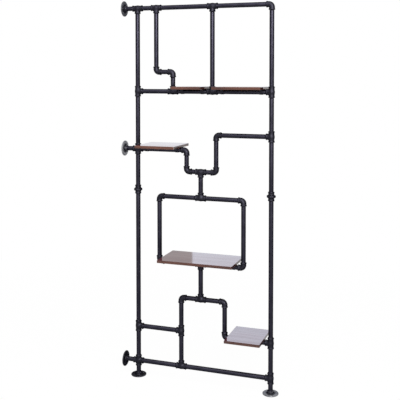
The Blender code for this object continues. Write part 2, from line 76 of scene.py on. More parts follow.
# Cast fittings: a body with a raised band at each mouth, and rounded crotches. A mouth is
# straight for a share of its depth, and then narrows.
BAND_STEP = 0.0017
BODY_RADIUS = BAND_RADIUS - BAND_STEP
BAND_LENGTH = 0.0066
BAND_ROUND = 0.0030
BAND_FOOT = 0.0014
CROTCH_FILLET = 0.0100
BELLY_RISE = 0.0012
BELLY_BLEND = 0.0060
MOUTH_GAP = 0.0011
MOUTH_DEPTH = 0.0026
MOUTH_STRAIGHT = 0.4
MOUTH_TAPER = 0.4
MOUTH_ROUND = 0.0004
CAST_VOXEL = 0.0007
CAST_SHARE_KEPT = 0.42

# A cast shape is made in a block of voxels, and each holds how deep inside it is.
MILLIMETRES = 1000.0
OUTSIDE = -10.0
VOXELS_AROUND = 3.0

# Unions.
NUT_LENGTH = 0.0180
NUT_SIDES = 8
NUT_ROUND = 0.0010
NUT_CHAMFER_SLOPE = 0.62
NECK_DEPTH = 0.0012

# Flanges.
FLANGE_THICKNESS = 0.0060
FLANGE_EDGE_ROUND = 0.0022
HUB_FILLET = 0.0070
RIM_RADIUS = 0.0014
RIM_INSET = 0.0030
HOLE_RADIUS = 0.0030
HOLE_CIRCLE = (BAND_RADIUS + FLANGE_RADIUS) / 2
HOLE_ANGLE = math.radians(45.0)
HOLE_ROUND = 0.0005
COUNTERSINK = 0.0022
FLANGE_VOXEL = 0.0008
FLANGE_SHARE_KEPT = 0.35

# Threads of 14 turns to the inch, of which a few show at each mouth.
THREAD_PITCH = 0.00181
THREAD_DEPTH = 0.0010
THREAD_SHOWN = 0.0055
THREAD_HIDDEN = 0.0032
THREAD_STEPS = 6
PIPE_SIDES = 40
WELD_DISTANCE = 0.00001

# Straps of sheet steel, with a round head screw in each ear.
STRAP_WIDTH = 0.0190
STRAP_THICKNESS = 0.0016
STRAP_EAR = 0.0200
STRAP_TIP = PIPE_RADIUS + STRAP_THICKNESS + STRAP_EAR
STRAP_TIP_START = STRAP_TIP - STRAP_WIDTH / 2
STRAP_INSET = 0.0260
STRAP_ROUND = 0.0022
STRAP_EDGE_ROUND = STRAP_THICKNESS / 5
STRAP_EDGE_STEPS = 2
STRAP_SCREW_FROM_TIP = 0.0085
STRAP_SEGMENTS = 20
SEAT_GAP = 0.0003
SCREW_RADIUS = 0.0042
SCREW_RISE = 0.0024
SLOT_WIDTH = 0.0010
SLOT_LENGTH = 0.0050
SLOT_DEPTH = 0.0012
SCREW_VOXEL = 0.00018
SCREW_SHARE_KEPT = 0.40

# Boards.
BOARD_EDGE_ROUND = 0.0018
BOARD_EDGE_STEPS = 4

# Colours, as light that they reflect. The tops of the boards take a share of a lighter, redder
# tone, which is painted light, and the edge tint is what black metal mirrors at a slant.
PIPE_COLOUR = (0.0215, 0.0205, 0.0300)
PIPE_SCUFF = (0.0480, 0.0460, 0.0600)
CAST_COLOUR = (0.0180, 0.0176, 0.0245)
CAST_WORN = (0.0700, 0.0680, 0.0800)
STRAP_COLOUR = (0.0180, 0.0176, 0.0240)
SCREW_COLOUR = (0.1000, 0.0980, 0.1040)
DUST_COLOUR = (0.3000, 0.2900, 0.2800)
# The pale sheen colour is a painted reflection on the flange plates.
PAINTED_SHEEN_COLOUR = (0.3900, 0.4000, 0.4300)
WALNUT_DARK = (0.0220, 0.0070, 0.0072)
WALNUT_MIDDLE = (0.0540, 0.0185, 0.0130)
WALNUT_LIGHT = (0.1050, 0.0410, 0.0270)
WALNUT_LIT_TOP = (0.1500, 0.0250, 0.0430)
LIT_TOP_SHARE = 0.5
EDGE_TINT = (0.1000, 0.1000, 0.1200)
FLOOR_COLOUR = (0.9000, 0.9000, 0.9000)
WHITE = (1.0, 1.0, 1.0)

# Studio: light from all round, and a pale floor. Near the object the camera sees the floor as
# plain white, but for a small share of its own light and shadow. Further off it is all white.
AMBIENT = 0.35
FLOOR_REACH = 30.0
FLOOR_GAP = 0.0005
FLOOR_GLOW = 0.970
GLOW_NEAR = 1.2
GLOW_FAR = 3.5

# Soft lamps, given as name, size in metres, power in watts, spread in degrees, colour, place and
# target. From behind, the key would glare in the lacquer, so it leaves the boards out, and they
# have a low lamp in its place.
KEY_TINT = (1.0, 0.98, 0.92)
REAR_TINT = (0.71, 0.80, 0.98)
LAMPS = (
    ("key", (3.6, 1.8), 108.0, 70.0, KEY_TINT, (3.0, -6.0, 3.25), (0.1, 0.0, 1.9)),
    ("board_front", (3.6, 1.0), 415.0, 180.0, KEY_TINT, (1.0, -6.5, 0.55), (0.0, 0.0, 0.9)),
    ("overhead", (8.0, 4.5), 330.0, 180.0, WHITE, (0.8, -3.2, 6.4), (0.0, 0.0, 1.1)),
    ("rear_left", (2.0, 0.55), 1.40, 180.0, REAR_TINT, (-4.0, 8.0, 2.18), (-4.0, 0.0, 2.18)),
    ("rear_low", (4.0, 0.57), 9.9, 180.0, REAR_TINT, (-0.92, 8.0, 2.78), (-0.92, 0.0, 2.78)),
    ("rear_high", (4.0, 1.50), 44.5, 180.0, REAR_TINT, (-0.92, 8.0, 3.82), (-0.92, 0.0, 3.82)),
)
BOARD_LIGHT = {"key": "EXCLUDE", "board_front": "INCLUDE"}

# The camera that took the photo: its lens on a 36 mm sensor, its place and its aim.
LENS = 64.77
SENSOR = 36.0
CAMERA_PLACE = (1.3574, -3.8876, 1.7845)
CAMERA_YAW = math.radians(19.173)
CAMERA_PITCH = math.radians(2.277)
CAMERA_SHIFT_Y = -0.2381


# Node trees

class Field:
    """A value in a node tree. Arithmetic on it adds Math nodes to the tree."""

    def __init__(self, tree, socket):
        self.tree = tree
        self.socket = socket

    def math(self, operation, *others):
        values = dict(enumerate((self, *others)))
        node = add_node(self.tree, "ShaderNodeMath", values, operation=operation)
        return Field(self.tree, node.outputs[0])

    def __add__(self, other):
        return self.math("ADD", other)

    def __sub__(self, other):
        return self.math("SUBTRACT", other)

    def __mul__(self, other):
        return self.math("MULTIPLY", other)

    def __truediv__(self, other):
        return self.math("DIVIDE", other)

    def __neg__(self):
        return self * -1.0

    def size(self):
        return self.math("ABSOLUTE")

    def root(self):
        return self.math("SQRT")

    def smaller(self, other, blend=None):
        """The smaller of two values, which run into each other over a blend."""
        return self.math("SMOOTH_MIN", other, blend) if blend else self.math("MINIMUM", other)

    def larger(self, other, blend=None):
        """The larger of two values, which run into each other over a blend."""
        return self.math("SMOOTH_MAX", other, blend) if blend else self.math("MAXIMUM", other)


def fill(tree, target, value):
    """Fill an input with a field, with another node's socket, or with a plain value."""
    if isinstance(value, Field):
        value = value.socket
    if isinstance(value, bpy.types.NodeSocket):
        tree.links.new(value, target)
    else:
        target.default_value = value


def fill_inputs(tree, node, inputs):
    """Fill several inputs of a node, given by their names or numbers."""
    for name, value in inputs.items():
        fill(tree, node.inputs[name], value)


def add_node(tree, kind, inputs=None, **settings):
    """A node with its settings made and its inputs filled."""
    node = tree.nodes.new(kind)
    for name, value in settings.items():
        setattr(node, name, value)
    fill_inputs(tree, node, inputs or {})
    return node


NUMBER = "NodeSocketFloat"
COLOUR = "NodeSocketColor"
VECTOR = "NodeSocketVector"
MATERIAL = "NodeSocketMaterial"
GEOMETRY = "NodeSocketGeometry"


def socket_kind(value):
    """The kind of socket that holds a value. One without a value is given as its kind."""
    if isinstance(value, str):
        return value
    if isinstance(value, tuple):
        return VECTOR if len(value) == 3 else COLOUR
    return NUMBER


def new_group(kind, name, inputs, outputs):
    """A node group with named sockets: the tree, its inputs as fields, and its output node."""
    tree = bpy.data.node_groups.new(name, kind)
    for label, value in inputs.items():
        socket = tree.interface.new_socket(
            label, in_out="INPUT", socket_type=socket_kind(value))
        if not isinstance(value, str):
            socket.default_value = value
    for label, socket_type in outputs.items():
        tree.interface.new_socket(label, in_out="OUTPUT", socket_type=socket_type)
    source = tree.nodes.new("NodeGroupInput")
    given = {label: Field(tree, source.outputs[label]) for label in inputs}
    return tree, given, tree.nodes.new("NodeGroupOutput")


# Shader groups that the materials share

# How much of the height on black iron is fine grain, and the rest speckle.
FINE_SHARE = 0.7

# The walnut's patterns, each in features to the metre along the board and across it.
FIGURE_SCALE = (1.6, 11.0)
LINES_SCALE = (3.0, 120.0)
PORES_SCALE = (26.0, 900.0)
STREAKS_SCALE = (2.2, 34.0)
FIGURE_SHARE = 0.65
LINES_DARKER = 0.75
PORES_DARKER = 0.55
LINES_RAISED = 0.35
PORES_SUNK = 0.65
STREAKS_DULLER = 0.13


def place_of(tree):
    """The place on the finished object, which stands still when the camera moves."""
    return add_node(tree, "ShaderNodeTexCoord").outputs["Object"]


def facing_up(tree):
    """How far a face looks up: 1 on a level top, and 0 on an upright side."""
    normal = add_node(tree, "ShaderNodeTexCoord").outputs["Normal"]
    return add_node(tree, "ShaderNodeSeparateXYZ", {0: normal}).outputs[Z]


def noise(tree, where, scale, detail=3.0, roughness=0.5, distortion=0.0):
    """Noise from 0 to 1, with its scale in features to the metre."""
    node = add_node(tree, "ShaderNodeTexNoise", {
        "Vector": where, "Scale": scale, "Detail": detail, "Roughness": roughness,
        "Distortion": distortion})
    return Field(tree, node.outputs[0])


def ramp(tree, value, low, high):
    """A value that goes smoothly from 0 to 1 between two limits."""
    node = add_node(tree, "ShaderNodeMapRange", {
        "Value": value, "From Min": low, "From Max": high}, interpolation_type="SMOOTHSTEP")
    return Field(tree, node.outputs["Result"])


def mixed(tree, share, first, second):
    """Two colours mixed by a share from 0 to 1."""
    node = tree.nodes.new("ShaderNodeMix")
    node.data_type = "RGBA"
    sockets = [socket for socket in node.inputs if socket.enabled]
    for target, value in zip(sockets, (share, first, second)):
        fill(tree, target, value)
    return next(socket for socket in node.outputs if socket.enabled)


def make_mottle():
    """Soft patches, small speckle and fine grain, as on black pipe and cast iron."""
    tree, given, out = new_group("ShaderNodeTree", "mottle", {
        "Patches": 14.0, "Speckle": 260.0, "Grain": 1400.0,
    }, {"Patches": NUMBER, "Speckle": NUMBER, "Height": NUMBER})
    where = place_of(tree)
    patches = noise(tree, where, given["Patches"], detail=4.0, roughness=0.6, distortion=0.4)
    speckle = noise(tree, where, given["Speckle"], roughness=0.6)
    speckle = ramp(tree, speckle, low=0.50, high=0.75)
    grain = noise(tree, where, given["Grain"], detail=2.0, roughness=0.55)
    fill_inputs(tree, out, {
        "Patches": ramp(tree, patches, low=0.35, high=0.68), "Speckle": speckle,
        "Height": grain * FINE_SHARE + speckle * (1 - FINE_SHARE)})
    return tree


def make_wear():
    """A mask of the edges that hands and boxes rub, broken up by noise."""
    tree, given, out = new_group("ShaderNodeTree", "edge_wear", {
        "Edge Start": 0.53, "Edge End": 0.60, "Breakup": 180.0}, {"Wear": NUMBER})
    sharpness = add_node(tree, "ShaderNodeNewGeometry").outputs["Pointiness"]
    edge = ramp(tree, sharpness, given["Edge Start"], given["Edge End"])
    broken = noise(tree, place_of(tree), given["Breakup"], detail=4.0, roughness=0.65)
    fill(tree, out.inputs["Wear"], edge * ramp(tree, broken, low=0.42, high=0.62))
    return tree


def make_dust():
    """A thin film of dust on what faces up."""
    tree, given, out = new_group("ShaderNodeTree", "dust", {
        "Amount": 0.2, "Patches": 60.0}, {"Dust": NUMBER})
    facing = ramp(tree, facing_up(tree), low=0.55, high=1.0)
    patchy = noise(tree, place_of(tree), given["Patches"], detail=5.0, roughness=0.6)
    fill(tree, out.inputs["Dust"], facing * patchy * given["Amount"])
    return tree


def make_grain():
    """Walnut grain along X: broad figure, growth lines and fine pores."""
    tree, given, out = new_group("ShaderNodeTree", "walnut_grain", {
        "Dark": (*WALNUT_DARK, 1), "Middle": (*WALNUT_MIDDLE, 1), "Light": (*WALNUT_LIGHT, 1),
        "Figure": 1.0, "Shift": (0, 0, 0),
    }, {"Color": COLOUR, "Pores": NUMBER, "Height": NUMBER, "Gloss": NUMBER})
    moved = add_node(tree, "ShaderNodeMapping", {
        "Vector": place_of(tree), "Location": given["Shift"].socket}).outputs[0]

    def stretched(along, across):
        mapping = add_node(tree, "ShaderNodeMapping", {
            "Vector": moved, "Scale": (along, across, across)})
        return mapping.outputs[0]

    def pattern(scale, **shape):
        return noise(tree, stretched(*scale), given["Figure"], **shape)

    figure = pattern(FIGURE_SCALE, detail=5.0, roughness=0.55, distortion=1.2)
    lines = pattern(LINES_SCALE, detail=4.0, roughness=0.6, distortion=0.5)
    pores = ramp(tree, pattern(PORES_SCALE, roughness=0.6), low=0.56, high=0.70)
    tone = ramp(tree, figure * FIGURE_SHARE + lines * (1 - FIGURE_SHARE), low=0.36, high=0.64)
    warm = mixed(tree, tone, given["Middle"], given["Light"])
    dark = ramp(tree, lines, low=0.52, high=0.36) * LINES_DARKER
    lined = mixed(tree, dark, warm, given["Dark"])
    streaks = ramp(tree, pattern(STREAKS_SCALE, roughness=0.6), low=0.38, high=0.64)
    fill_inputs(tree, out, {
        "Color": mixed(tree, pores * PORES_DARKER, lined, given["Dark"]), "Pores": pores,
        "Height": lines * LINES_RAISED - pores * PORES_SUNK,
        "Gloss": streaks * -STREAKS_DULLER + 1.0})
    return tree


MOTTLE = make_mottle()
WEAR = make_wear()
DUST = make_dust()
GRAIN = make_grain()


# Materials

# The black finish: its patches are lighter and rougher, and its rubbed edges paler and smoother.
# Specks of the paler tone and a film of dust show on it.
PATCH_LIGHTER = 1.35
PATCH_ROUGHER = 0.08
WEAR_SHOWN = 0.6
WEAR_SMOOTHER = 0.10
SPECKLE_SHOWN = 0.10
DUST_SHOWN = 0.10

# A flange's plate takes a painted sheen between these distances from the middle of its back.
# The sheen is a painted reflection of bright surroundings on the flat plate.
SHEEN_START = 0.0190
SHEEN_END = 0.0350
SHEEN_PATCHES = 45.0
SHEEN_EVEN = 0.7

# The walnut and its lacquer.
WOOD_ROUGHNESS = 0.34
PORES_ROUGHER = 0.12
GRAIN_DEPTH = 0.00006
LACQUER_ROUGHNESS = 0.05
LACQUER_IOR = 1.46


def use(tree, group, **values):
    """A shared group placed in a material, with its own values."""
    return add_node(tree, "ShaderNodeGroup", values, node_tree=group)


def bump(tree, height, depth):
    """A normal from a height that goes from 0 to 1 over a depth in metres."""
    node = add_node(tree, "ShaderNodeBump", {"Height": height, "Distance": depth})
    return node.outputs["Normal"]


def new_material(name):
    """An empty material: its tree and its Principled shader."""
    material = bpy.data.materials.new(name)
    material.use_nodes = True
    return material, material.node_tree, material.node_tree.nodes["Principled BSDF"]


def black_iron(name, colour, worn, roughness, grain_height, patches):
    """Satin black iron: soft patches, speckle, rubbed edges and dust."""
    material, tree, shader = new_material(name)
    mottle = use(tree, MOTTLE, Patches=patches)
    wear = Field(tree, use(tree, WEAR).outputs["Wear"])
    patch = Field(tree, mottle.outputs["Patches"])
    speckle = Field(tree, mottle.outputs["Speckle"])
    lighter = [value * PATCH_LIGHTER for value in colour]
    base = mixed(tree, patch, (*colour, 1), (*lighter, 1))
    rubbed = mixed(tree, wear * WEAR_SHOWN + speckle * SPECKLE_SHOWN, base, (*worn, 1))
    film = use(tree, DUST, Amount=DUST_SHOWN).outputs["Dust"]
    fill_inputs(tree, shader, {
        "Base Color": mixed(tree, film, rubbed, (*DUST_COLOUR, 1)),
        "Roughness": patch * PATCH_ROUGHER - wear * WEAR_SMOOTHER + roughness,
        "Metallic": 1.0, "Specular Tint": (*EDGE_TINT, 1),
        "Normal": bump(tree, mottle.outputs["Height"], grain_height)})
    return material


def paint_plate_sheen(material, hub, amount):
    """Paint a pale sheen on a flange's black from its hub out to its rim, as a painted reflection.
    """
    tree = material.node_tree
    shader = tree.nodes["Principled BSDF"]
    away = Field(tree, add_node(tree, "ShaderNodeVectorMath", {
        0: place_of(tree), 1: hub}, operation="DISTANCE").outputs["Value"])
    patches = Field(tree, use(tree, MOTTLE, Patches=SHEEN_PATCHES).outputs["Patches"])
    uneven = patches * (1 - SHEEN_EVEN) + SHEEN_EVEN
    share = ramp(tree, away, SHEEN_START, SHEEN_END) * uneven * amount
    black = shader.inputs["Base Color"].links[0].from_socket
    fill_inputs(tree, shader, {
        "Base Color": mixed(tree, share, black, (*PAINTED_SHEEN_COLOUR, 1)), "Metallic": -share + 1.0})
    return material


def lacquered_walnut(name, shift, painted_shade):
    """Stained walnut under a glossy clear lacquer, with each board's own grain and painted shade.
    """
    material, tree, shader = new_material(name)
    grain = use(tree, GRAIN, Shift=shift)
    pores = Field(tree, grain.outputs["Pores"])
    # Painted shade: the stain is darkened towards the darkest walnut by the board's own amount.
    stain_and_shade = mixed(tree, painted_shade, grain.outputs["Color"], (*WALNUT_DARK, 1))
    # Painted light: upward faces take a share of a lighter, redder tone, for how the lit lacquered
    # tops look.
    top = ramp(tree, facing_up(tree), low=0.50, high=0.90) * LIT_TOP_SHARE
    fill_inputs(tree, shader, {
        "Base Color": mixed(tree, top, stain_and_shade, (*WALNUT_LIT_TOP, 1)),
        "Roughness": pores * PORES_ROUGHER + WOOD_ROUGHNESS, "Specular IOR Level": 0.0,
        "Coat Weight": grain.outputs["Gloss"], "Coat Roughness": LACQUER_ROUGHNESS,
        "Coat IOR": LACQUER_IOR, "Normal": bump(tree, grain.outputs["Height"], GRAIN_DEPTH)})
    return material


PIPE_BLACK = black_iron(
    "pipe_black", PIPE_COLOUR, PIPE_SCUFF, roughness=0.37, grain_height=0.00002, patches=14.0)
FITTING_BLACK = black_iron(
    "fitting_black", CAST_COLOUR, CAST_WORN, roughness=0.44, grain_height=0.00010, patches=22.0)
UNION_BLACK = black_iron(
    "union_black", CAST_COLOUR, CAST_WORN, roughness=0.40, grain_height=0.00008, patches=22.0)
STRAP_BLACK = black_iron(
    "strap_black", STRAP_COLOUR, PIPE_SCUFF, roughness=0.38, grain_height=0.00003, patches=40.0)
SCREW_STEEL = black_iron(
    "screw_steel", SCREW_COLOUR, CAST_WORN, roughness=0.32, grain_height=0.00003, patches=90.0)


# Cast shapes, made from the distance to their surface

def coordinates(tree):
    """The three coordinates of the point that a field is asked for."""
    position = add_node(tree, "GeometryNodeInputPosition").outputs[0]
    split = add_node(tree, "ShaderNodeSeparateXYZ", {0: position})
    return [Field(tree, socket) for socket in split.outputs]


def length_of(first, second):
    """The length of the sum of two steps at right angles."""
    return (first * first + second * second).root()


def cylinder(radial, along, radius, low, high, rounding=None):
    """The distance to a straight cylinder between two places on its axis."""
    wall = radial - radius
    ends = (along - (low + high) * 0.5).size() - (high - low) * 0.5
    return wall.larger(ends, rounding)


def surface(tree, shape, low, high, voxel):
    """The mesh of the surface where a distance is zero, within a box."""
    counts = {}
    for name, start, end in zip("XYZ", low, high):
        counts["Resolution " + name] = (end - start) / voxel
    corners = [
        add_node(tree, "ShaderNodeCombineXYZ", dict(enumerate(corner))).outputs[0]
        for corner in (low, high)]
    cube = add_node(tree, "GeometryNodeVolumeCube", {
        "Density": shape * -MILLIMETRES, "Background": OUTSIDE, "Min": corners[0],
        "Max": corners[1], **counts})
    return add_node(tree, "GeometryNodeVolumeToMesh", {
        "Volume": cube.outputs[0], "Threshold": 0.0, "Adaptivity": 0.0}).outputs[0]


def finished(tree, given, out, geometry):
    """A tree that ends in smooth faces, real instances and a material."""
    smooth = add_node(tree, "GeometryNodeSetShadeSmooth", {"Geometry": geometry})
    real = add_node(tree, "GeometryNodeRealizeInstances", {"Geometry": smooth.outputs[0]})
    dressed = add_node(tree, "GeometryNodeSetMaterial", {
        "Geometry": real.outputs[0], "Material": given["Material"]})
    fill(tree, out.inputs["Geometry"], dressed.outputs[0])
    return tree


MOUTH_SIZES = {
    "Mouth Radius": PIPE_RADIUS + MOUTH_GAP, "Mouth Depth": MOUTH_DEPTH,
    "Mouth Round": MOUTH_ROUND,
}
BAND_SIZES = {
    "Band Radius": BAND_RADIUS, "Band Length": BAND_LENGTH, "Band Round": BAND_ROUND,
    "Band Foot": BAND_FOOT,
}

# The ways in which an arm can point, as steps along X and along Z.
ARM_WAYS = {"right": (1, 0), "up": (0, 1), "left": (-1, 0), "down": (0, -1)}


def straight_body(given, x, y, z, arms):
    """The body of a tee or a cross: an upright run, its side arms and a slight belly."""
    body = cylinder(length_of(x, y), z, given["Body Radius"], -given["Reach"], given["Reach"])
    low = -given["Reach"] if "left" in arms else given["Reach"] * 0
    side = cylinder(length_of(z, y), x, given["Body Radius"], low, given["Reach"])
    belly = length_of(length_of(x, y), z) - given["Body Radius"] - given["Belly Rise"]
    return body.smaller(side, given["Crotch Fillet"]).smaller(belly, given["Belly Blend"])


def bent_body(given, x, y, z):
    """The body of an elbow: a quarter ring between an arm to the right and an arm up."""
    across = x - given["Bend Radius"]
    above = z - given["Bend Radius"]
    ring = length_of(length_of(across, above) - given["Bend Radius"], y)
    arm = length_of(z, y).smaller(length_of(x, y))
    in_bend = across.math("LESS_THAN", 0.0) * above.math("LESS_THAN", 0.0)
    bar = arm + (ring - arm) * in_bend - given["Body Radius"]
    return bar.larger(x - given["Reach"]).larger(z - given["Reach"])


def fitting_tree(kind, arms):
    """The tree of a cast fitting: its body, and a band and a chamfered mouth on each arm."""
    tree, given, out = new_group("GeometryNodeTree", kind, {
        "Body Radius": BODY_RADIUS, **BAND_SIZES, "Reach": REACH, "Bend Radius": STOP,
        "Crotch Fillet": CROTCH_FILLET, "Belly Rise": BELLY_RISE, "Belly Blend": BELLY_BLEND,
        **MOUTH_SIZES, "Voxel": CAST_VOXEL, "Material": MATERIAL,
    }, {"Geometry": GEOMETRY})
    x, y, z = coordinates(tree)
    if kind == "elbow":
        shape = bent_body(given, x, y, z)
    else:
        shape = straight_body(given, x, y, z, arms)
    mouths = []
    for arm in arms:
        right, up = ARM_WAYS[arm]
        along = x * right if right else z * up
        radial = length_of(z if right else x, y)
        band = cylinder(
            radial, along, given["Band Radius"], given["Reach"] - given["Band Length"],
            given["Reach"], given["Band Round"])
        shape = shape.smaller(band, given["Band Foot"])
        depth = given["Reach"] - along
        past_straight = (depth - given["Mouth Depth"] * MOUTH_STRAIGHT).larger(0.0)
        mouth_radius = given["Mouth Radius"] - past_straight * MOUTH_TAPER
        mouths.append((radial - mouth_radius).larger(depth - given["Mouth Depth"]))
    for mouth in mouths:
        shape = shape.larger(-mouth, given["Mouth Round"])
    room = given["Voxel"] * VOXELS_AROUND
    side = given["Reach"] + room
    deep = given["Band Radius"] + given["Belly Rise"] + room
    mesh = surface(tree, shape, (-side, -deep, -side), (side, deep, side), given["Voxel"])
    return finished(tree, given, out, mesh)


def straight_mouth(given, radial, depth):
    """The distance to the hole that a pipe goes into, from the depth below its rim."""
    return (radial - given["Mouth Radius"]).larger(depth - given["Mouth Depth"])


def union_tree():
    """The tree of a union: two banded ends and a chamfered nut with flat sides."""
    tree, given, out = new_group("GeometryNodeTree", "union", {
        "Length": UNION_LENGTH, **BAND_SIZES, "Neck Depth": NECK_DEPTH, "Nut Width": NUT_WIDTH,
        "Nut Length": NUT_LENGTH, "Nut Round": NUT_ROUND, "Chamfer Slope": NUT_CHAMFER_SLOPE,
        **MOUTH_SIZES, "Voxel": CAST_VOXEL, "Material": MATERIAL,
    }, {"Geometry": GEOMETRY})
    x, y, z = coordinates(tree)
    radial = length_of(x, y)
    height = z.size()
    half = given["Length"] * 0.5
    shape = cylinder(radial, z, given["Band Radius"] - given["Neck Depth"], -half, half)
    band = cylinder(
        radial, height, given["Band Radius"], half - given["Band Length"], half,
        given["Band Round"])
    flat = given["Nut Width"] * 0.5 * math.cos(math.pi / NUT_SIDES)
    nut = height - given["Nut Length"] * 0.5
    for number in range(NUT_SIDES // 2):
        angle = math.tau * (number + 0.5) / NUT_SIDES
        side = (x * math.cos(angle) + y * math.sin(angle)).size() - flat
        nut = nut.larger(side, given["Nut Round"])
    slope = (radial - given["Band Radius"]) * given["Chamfer Slope"]
    nut = nut.larger(height + slope - given["Nut Length"] * 0.5, given["Nut Round"])
    shape = shape.smaller(band, given["Band Foot"]).smaller(nut, given["Nut Round"])
    shape = shape.larger(-straight_mouth(given, radial, half - height), given["Mouth Round"])
    room = given["Voxel"] * VOXELS_AROUND
    side = given["Nut Width"] * 0.5 + room
    tall = half + room
    mesh = surface(tree, shape, (-side, -side, -tall), (side, side, tall), given["Voxel"])
    return finished(tree, given, out, mesh)


def flange_tree():
    """The tree of a flange: a plate with a beaded rim, four countersunk holes and a hub."""
    tree, given, out = new_group("GeometryNodeTree", "flange", {
        "Radius": FLANGE_RADIUS, "Thickness": FLANGE_THICKNESS, "Height": FLANGE_HEIGHT,
        "Edge Round": FLANGE_EDGE_ROUND, "Hub Radius": BAND_RADIUS, "Hub Round": BAND_ROUND,
        "Hub Fillet": HUB_FILLET, "Rim Radius": RIM_RADIUS, "Rim Inset": RIM_INSET,
        "Hole Radius": HOLE_RADIUS, "Hole Circle": HOLE_CIRCLE, "Hole Round": HOLE_ROUND,
        "Countersink": COUNTERSINK, **MOUTH_SIZES, "Voxel": FLANGE_VOXEL, "Material": MATERIAL,
    }, {"Geometry": GEOMETRY})
    x, y, z = coordinates(tree)
    radial = length_of(x, y)
    nothing = given["Height"] * 0.0
    plate = cylinder(
        radial, z, given["Radius"], nothing, given["Thickness"], given["Edge Round"])
    rim_radius = given["Radius"] - given["Rim Inset"]
    rim = length_of(radial - rim_radius, z - given["Thickness"]) - given["Rim Radius"]
    hub = cylinder(
        radial, z, given["Hub Radius"], nothing, given["Height"], given["Hub Round"])
    shape = plate.smaller(rim, given["Rim Radius"]).smaller(hub, given["Hub Fillet"])
    hole_place = given["Hole Circle"] * math.cos(HOLE_ANGLE)
    from_hole = length_of(x.size() - hole_place, y.size() - hole_place)
    sunk = (z - given["Thickness"] + given["Countersink"]).larger(0.0)
    shape = shape.larger(given["Hole Radius"] + sunk - from_hole, given["Hole Round"])
    mouth = straight_mouth(given, radial, given["Height"] - z)
    shape = shape.larger(-mouth, given["Mouth Round"]).larger(-z)
    room = given["Voxel"] * VOXELS_AROUND
    side = given["Radius"] + room
    high = (side, side, given["Height"] + room)
    mesh = surface(tree, shape, (-side, -side, -room), high, given["Voxel"])
    return finished(tree, given, out, mesh)


# Pipes and screws, made by trees that follow lines and points

def thread_sleeve(tree, given):
    """A threaded end that rises from z = 0, where it is plain, to its full thread."""
    count = round((THREAD_SHOWN + THREAD_HIDDEN) / THREAD_PITCH * THREAD_STEPS)
    sleeve = add_node(tree, "GeometryNodeMeshCylinder", {
        "Vertices": PIPE_SIDES, "Side Segments": count, "Radius": given["Pipe Radius"],
        "Depth": given["Thread Length"]}, fill_type="NGON")
    open_below = add_node(tree, "GeometryNodeDeleteGeometry", {
        "Geometry": sleeve.outputs["Mesh"], "Selection": sleeve.outputs["Bottom"]},
        domain="FACE", mode="ONLY_FACE")
    raised = add_node(tree, "GeometryNodeTransform", {
        "Geometry": open_below.outputs[0],
        "Translation": add_node(tree, "ShaderNodeCombineXYZ", {
            Z: given["Thread Length"] * 0.5}).outputs[0]})
    x, y, z = coordinates(tree)
    turn = y.math("ARCTAN2", x) / math.tau
    # The thread is a wave that rises and falls once in each turn, and its first turn is faint.
    turns = z / given["Thread Pitch"]
    wave = (turns + turn).math("PINGPONG", 0.5) * 2.0
    cut = -(wave * turns.smaller(1.0) * given["Thread Depth"] / given["Pipe Radius"])
    offset = add_node(tree, "ShaderNodeCombineXYZ", {X: x * cut, Y: y * cut})
    return add_node(tree, "GeometryNodeSetPosition", {
        "Geometry": raised.outputs[0], "Offset": offset.outputs[0]}).outputs[0]


def pipe_tree():
    """The tree that puts a pipe along each edge of a mesh, with a threaded end at each end."""
    tree, given, out = new_group("GeometryNodeTree", "threaded_pipe", {
        "Lines": GEOMETRY, "Pipe Radius": PIPE_RADIUS,
        "Thread Length": THREAD_SHOWN + THREAD_HIDDEN, "Thread Pitch": THREAD_PITCH,
        "Thread Depth": THREAD_DEPTH, "Weld Distance": WELD_DISTANCE, "Material": MATERIAL,
    }, {"Geometry": GEOMETRY})
    lines = add_node(tree, "GeometryNodeMeshToCurve", {"Mesh": given["Lines"]}).outputs[0]
    ring = add_node(tree, "GeometryNodeCurvePrimitiveCircle", {
        "Resolution": PIPE_SIDES, "Radius": given["Pipe Radius"]})
    tube = add_node(tree, "GeometryNodeCurveToMesh", {
        "Curve": lines, "Profile Curve": ring.outputs[0], "Fill Caps": False})
    ends = add_node(tree, "GeometryNodeCurveToPoints", {"Curve": lines, "Count": 2}, mode="COUNT")
    # Each pipe has two ends in turn. The tangent points into the pipe at the first of them.
    index = Field(tree, add_node(tree, "GeometryNodeInputIndex").outputs[0])
    way_out = index.math("MODULO", 2.0) * 2.0 - 1.0
    outward = add_node(tree, "ShaderNodeVectorMath", {
        0: ends.outputs["Tangent"], "Scale": way_out}, operation="SCALE")
    turn = add_node(tree, "FunctionNodeAlignRotationToVector", {
        "Vector": outward.outputs[0]}, axis="Z")
    sleeves = add_node(tree, "GeometryNodeInstanceOnPoints", {
        "Points": ends.outputs["Points"], "Instance": thread_sleeve(tree, given),
        "Rotation": turn.outputs[0]})
    both = tree.nodes.new("GeometryNodeJoinGeometry")
    real_sleeves = add_node(tree, "GeometryNodeRealizeInstances", {0: sleeves.outputs[0]})
    for geometry in (tube.outputs[0], real_sleeves.outputs[0]):
        tree.links.new(geometry, both.inputs[0])
    welded = add_node(tree, "GeometryNodeMergeByDistance", {
        "Geometry": both.outputs[0], "Distance": given["Weld Distance"]})
    return finished(tree, given, out, welded.outputs[0])


